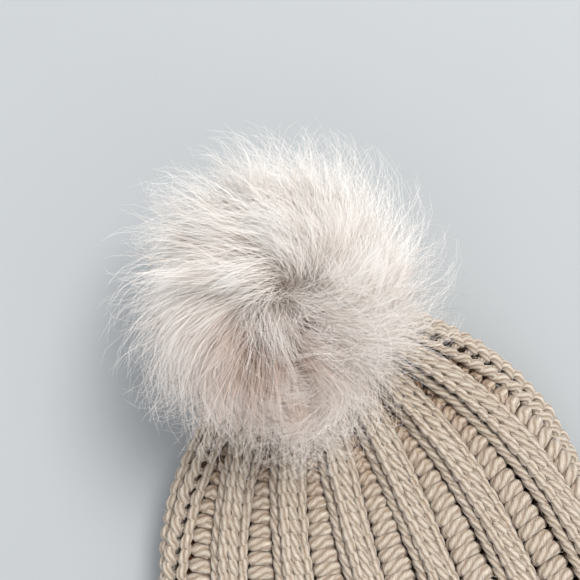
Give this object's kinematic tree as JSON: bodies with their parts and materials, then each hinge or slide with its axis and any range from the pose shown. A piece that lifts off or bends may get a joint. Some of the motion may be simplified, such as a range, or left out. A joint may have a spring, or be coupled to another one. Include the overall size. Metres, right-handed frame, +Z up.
{
  "type": "pom pom beanie",
  "caption": "Chunky rib-knit beanie with a turned-up cuff, lying flat, and a long-haired fur pom on a snap fastener that swivels and pulls off.",
  "frame": {"origin": "on the table, under the middle of the whole object's box, the hat lying flat", "axes": "+Z up from the table, +Y from the brim to the crown, +X across the hat"},
  "size_m": [0.2058, 0.2845, 0.1252],
  "materials": {
    "cream_knit": "matte",
    "cream_yarn": "matte",
    "felt": "matte",
    "snap_metal": "polished",
    "spring_wire": "satin",
    "pelt_hide": "matte",
    "thread": "matte",
    "backing_plastic": "satin",
    "polyester_filling": "matte",
    "fur": "matte",
    "label_satin": "satin"
  },
  "bodies": {
    "hat": {"knit_body": "cream_knit", "turned_cuff": "cream_knit", "gather_yarn": "cream_yarn", "crown_washer": "felt", "inner_patch": "felt", "snap_stud": "snap_metal", "post_cap": "snap_metal", "care_label": "label_satin", "label_stitches": "thread"},
    "spring": {"ring_spring": "spring_wire"},
    "pom": {"snap_socket": "snap_metal", "pelt_skin": "pelt_hide", "pelt_drawstring": "thread", "backing_disc": "backing_plastic", "socket_rivet": "snap_metal", "filling": "polyester_filling", "fur_pile": "fur"}
  },
  "joints": [
    {"name": "pom_pull_off", "type": "slide", "parent": "hat", "child": "spring", "axis": [-0.2621, 0.2621, 0.9287], "range_m": [0, 0.05]},
    {"name": "pom_swivel", "type": "hinge", "parent": "spring", "child": "pom", "pos_m": [0, 0.07575, 0.032], "axis": [-0.2621, 0.2621, 0.9287], "continuous": true}
  ]
}
